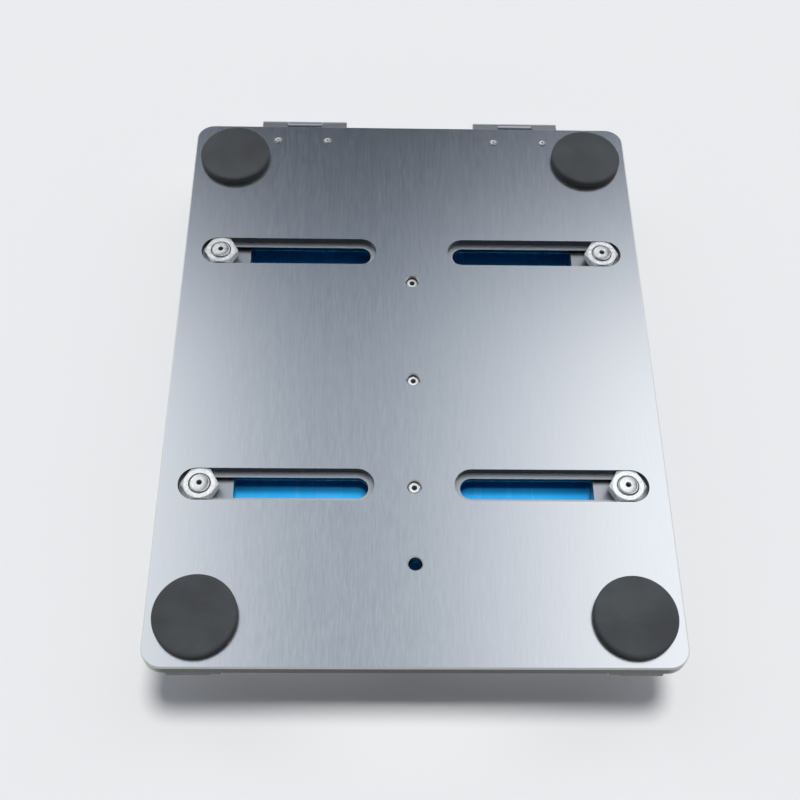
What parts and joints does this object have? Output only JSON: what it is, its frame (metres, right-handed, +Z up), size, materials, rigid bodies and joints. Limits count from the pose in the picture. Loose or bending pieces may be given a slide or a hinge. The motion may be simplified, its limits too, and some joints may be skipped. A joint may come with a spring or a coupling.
{
  "type": "manual stencil printer",
  "caption": "Tabletop solder paste stencil printer: slotted base plate with sliding board rails on captive clamp nuts and a hinged frame that carries a blue stencil sheet.",
  "frame": {"origin": "on the bench, at the bottom centre of the closed printer's bounding box", "axes": "+Z up, +Y towards the hinges at the rear, +X to the right seen from the front"},
  "size_m": [0.2, 0.27, 0.0423],
  "materials": {
    "plate_aluminium": "brushed, clear anodised",
    "rail_aluminium": "milled, clear anodised",
    "frame_aluminium": "brushed, clear anodised",
    "foot_rubber": "matte black",
    "clamp_steel": "bright zinc plated",
    "screw_steel": "bright stainless",
    "hinge_steel": "satin stainless",
    "stencil_blue": "translucent blue polyester film",
    "knob_plastic": "black, knurled rim"
  },
  "bodies": {
    "base": {"base_plate": "plate_aluminium", "support_bar": "rail_aluminium", "support_bar_screws": "screw_steel", "hinge_base_screws": "screw_steel", "foot_front_left": "foot_rubber", "foot_front_right": "foot_rubber", "foot_rear_left": "foot_rubber", "foot_rear_right": "foot_rubber", "hinge_left_base_leaf": "hinge_steel", "hinge_left_pin": "hinge_steel", "hinge_right_base_leaf": "hinge_steel", "hinge_right_pin": "hinge_steel"},
    "printing_frame": {"stencil_frame": "frame_aluminium", "stencil_sheet": "stencil_blue", "hinge_spacer": "frame_aluminium", "hinge_frame_screws": "screw_steel", "lift_knob": "knob_plastic", "lift_knob_screw": "screw_steel", "hinge_left_frame_leaf": "hinge_steel", "hinge_right_frame_leaf": "hinge_steel"},
    "left_rail": {"rail_left": "rail_aluminium", "clamp_nut_front_left": "clamp_steel", "clamp_nut_rear_left": "clamp_steel"},
    "front_left_clamp": {"clamp_screw_front_left": "clamp_steel"},
    "rear_left_clamp": {"clamp_screw_rear_left": "clamp_steel"},
    "right_rail": {"rail_right": "rail_aluminium", "clamp_nut_front_right": "clamp_steel", "clamp_nut_rear_right": "clamp_steel"},
    "front_right_clamp": {"clamp_screw_front_right": "clamp_steel"},
    "rear_right_clamp": {"clamp_screw_rear_right": "clamp_steel"}
  },
  "joints": [
    {"name": "frame_lift", "type": "hinge", "parent": "base", "child": "printing_frame", "pos_m": [0, 0.1325, 0.0123], "axis": [-1, 0, 0], "range_deg": [0, 165]},
    {"name": "left_rail_slide", "type": "slide", "parent": "base", "child": "left_rail", "axis": [1, 0, 0], "range_m": [0, 0.0595]},
    {"name": "front_left_clamp_turn", "type": "hinge", "parent": "left_rail", "child": "front_left_clamp", "pos_m": [-0.084, -0.06175, 0.0126], "axis": [0, 0, 1], "range_deg": [0, 360]},
    {"name": "rear_left_clamp_turn", "type": "hinge", "parent": "left_rail", "child": "rear_left_clamp", "pos_m": [-0.084, 0.05175, 0.0126], "axis": [0, 0, 1], "range_deg": [0, 360]},
    {"name": "right_rail_slide", "type": "slide", "parent": "base", "child": "right_rail", "axis": [-1, 0, 0], "range_m": [0, 0.0595]},
    {"name": "front_right_clamp_turn", "type": "hinge", "parent": "right_rail", "child": "front_right_clamp", "pos_m": [0.084, -0.06175, 0.0126], "axis": [0, 0, 1], "range_deg": [0, 360]},
    {"name": "rear_right_clamp_turn", "type": "hinge", "parent": "right_rail", "child": "rear_right_clamp", "pos_m": [0.084, 0.05175, 0.0126], "axis": [0, 0, 1], "range_deg": [0, 360]}
  ]
}
